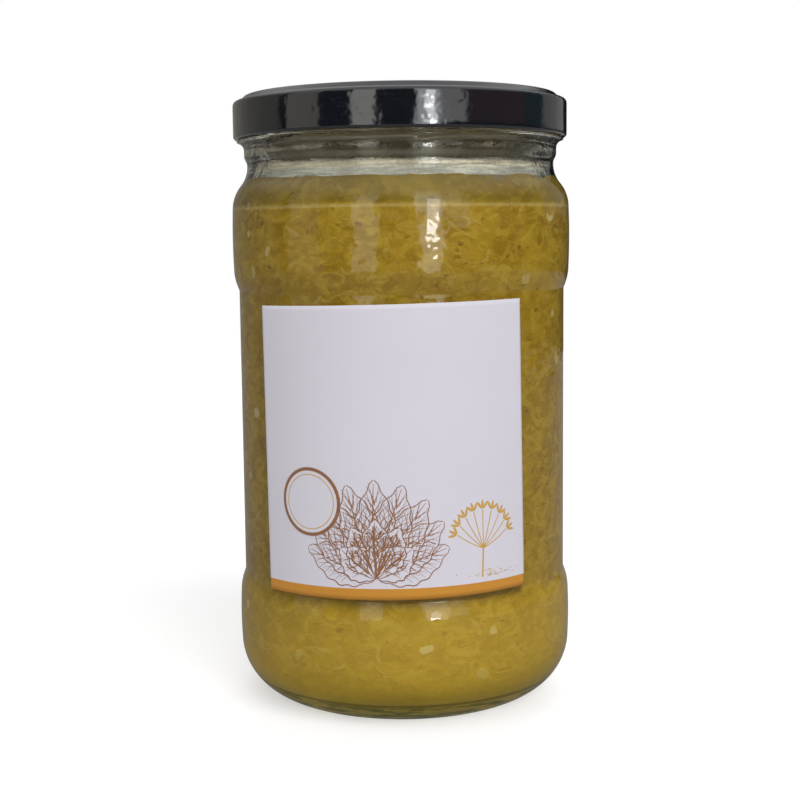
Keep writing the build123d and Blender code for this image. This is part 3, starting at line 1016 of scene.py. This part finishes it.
# the floor: matt, white to the eye and through glass, dark to gloss, greyer where the jar shades it
stage = {
    "floorRadius": 1.1, "floorGlow": 0.45, "skyGlow": 0.43, "lampSize": 1.4, "aim": (0, 0, 0.07),
    "lamps": [("key", (0.62, -1.15, 1.4), 26), ("fill", (-1.3, -0.9, 0.9), 6), ("back", (0.2, 1.4, 1.3), 12)],
    "lens": 64.45, "cameraAt": (-0.0007, -0.3735, 0.1186), "cameraTilt": 83.48, "cameraRoll": -0.62,
}


# 1 for what the camera sees, for reflections, and for what shows through glass
def rayKinds(paint):
    kinds = ("Is Camera Ray", "Is Glossy Ray", "Is Transmission Ray")
    return [paint.node("ShaderNodeLightPath", out=kind) for kind in kinds]


def floorPaint():
    paint = newPaint("floor_white")
    where = paint.place()
    seen, gloss, through = rayKinds(paint)
    cloud = paint.noise(where, 9, 2.0, 0.5)
    colour = paint.mix(cloud, (0.610, 0.610, 0.613), (0.620, 0.620, 0.620))
    glow = paint.mix(seen.high(through).high(0.12 * gloss), (0.0, 0.0, 0.0), (1.0, 1.0, 1.0))
    colour = paint.mix(0.75 * gloss, colour, (0.02, 0.02, 0.02))
    return paint.surface({
        "Base Color": colour, "Roughness": 0.95, "Specular IOR Level": 0.0,
        "Emission Color": glow, "Emission Strength": stage["floorGlow"],
    })


def makeFloor(corners=64):
    t = np.linspace(0, 2 * math.pi, corners, endpoint=False)
    points = np.stack([np.cos(t), np.sin(t), 0 * t], -1) * stage["floorRadius"]
    return addPiece("floor", points, [list(range(corners))], floorPaint(), smooth=False)


makeFloor()


# the surroundings: white to the eye and through glass, even and soft on matt surfaces, and dark and
# pale upright bands for reflections, by the angle from -Y, growing towards +X
def makeWorld():
    world = bpy.data.worlds.new("studio")
    bpy.context.scene.world = world
    paint = Paint(world)
    way = paint.node("ShaderNodeTexCoord", out="Generated")
    x, y, z = paint.parts(way)
    around = x.angle(0 - y)
    # start, end and soft edge in degrees, then the colour
    bands = [
        (-178, -90, 4, (0.22, 0.21, 0.19)), (-79, -56, 4, (0.55, 0.51, 0.45)),
        (-54, -33, 3, (0.018, 0.025, 0.04)), (-30, -17, 3, (1.5, 1.47, 1.41)),
        (-14, 9, 3, (0.02, 0.022, 0.026)), (13, 27, 3, (2.2, 2.25, 2.3)),
        (30, 43, 4, (0.95, 0.95, 0.94)), (48, 92, 5, (0.12, 0.07, 0.08)),
        (94, 113, 4, (0.04, 0.07, 0.08)), (115, 147, 5, (0.28, 0.28, 0.27)),
    ]
    glow = (0.012, 0.012, 0.014)
    for start, end, soft, colour in bands:
        glow = paint.mix(around.between(start, end, soft), glow, colour)
    lowRight = around.between(30, 170, 4) * (1 - z.rise(0.01, 0.05))
    glow = paint.mix(lowRight, glow, (0.03, 0.03, 0.03))
    lamp = around.between(18.5, 23.5, 1.5) * z.between(-0.012, 0.30, 0.012)
    strip = paint.mix(z.rise(0.045, 0.080), (17.0, 17.2, 17.4), (6.0, 6.1, 6.2))
    glow = paint.mix(lamp, glow, strip)
    over = z.rise(0.32, 0.75)
    glow = paint.mix(over, glow, (0.75, 0.75, 0.76))
    seen, gloss, through = rayKinds(paint)
    sky = (stage["skyGlow"],) * 3
    colour = paint.mix(gloss, sky, glow)
    colour = paint.mix(seen.high(through * (1 - gloss)), colour, (1.0, 1.0, 1.0))
    shader = paint.node("ShaderNodeBackground", None, {"Color": colour, "Strength": 1.0})
    paint.node("ShaderNodeOutputWorld", None, {"Surface": shader})


makeWorld()


def addLamp(name, place, power):
    data = bpy.data.lights.new(name, "AREA")
    data.shape = "DISK"
    data.size = stage["lampSize"]
    data.energy = power
    lamp = bpy.data.objects.new(name, data)
    lamp.location = place
    lamp.rotation_euler = (Vector(stage["aim"]) - Vector(place)).to_track_quat("-Z", "Y").to_euler()
    lamp.visible_glossy = False
    lamp.visible_transmission = False
    bpy.context.scene.collection.objects.link(lamp)


for lampName, lampPlace, lampPower in stage["lamps"]:
    addLamp(lampName, lampPlace, lampPower)

cameraData = bpy.data.cameras.new("camera")
cameraData.lens = stage["lens"]
cameraData.sensor_width = 36
camera = bpy.data.objects.new("camera", cameraData)
camera.matrix_world = (Matrix.Translation(stage["cameraAt"])
                       @ Matrix.Rotation(math.radians(stage["cameraTilt"]), 4, "X")
                       @ Matrix.Rotation(math.radians(stage["cameraRoll"]), 4, "Z"))
bpy.context.scene.collection.objects.link(camera)
bpy.context.scene.camera = camera
bpy.context.scene.view_settings.view_transform = "Standard"
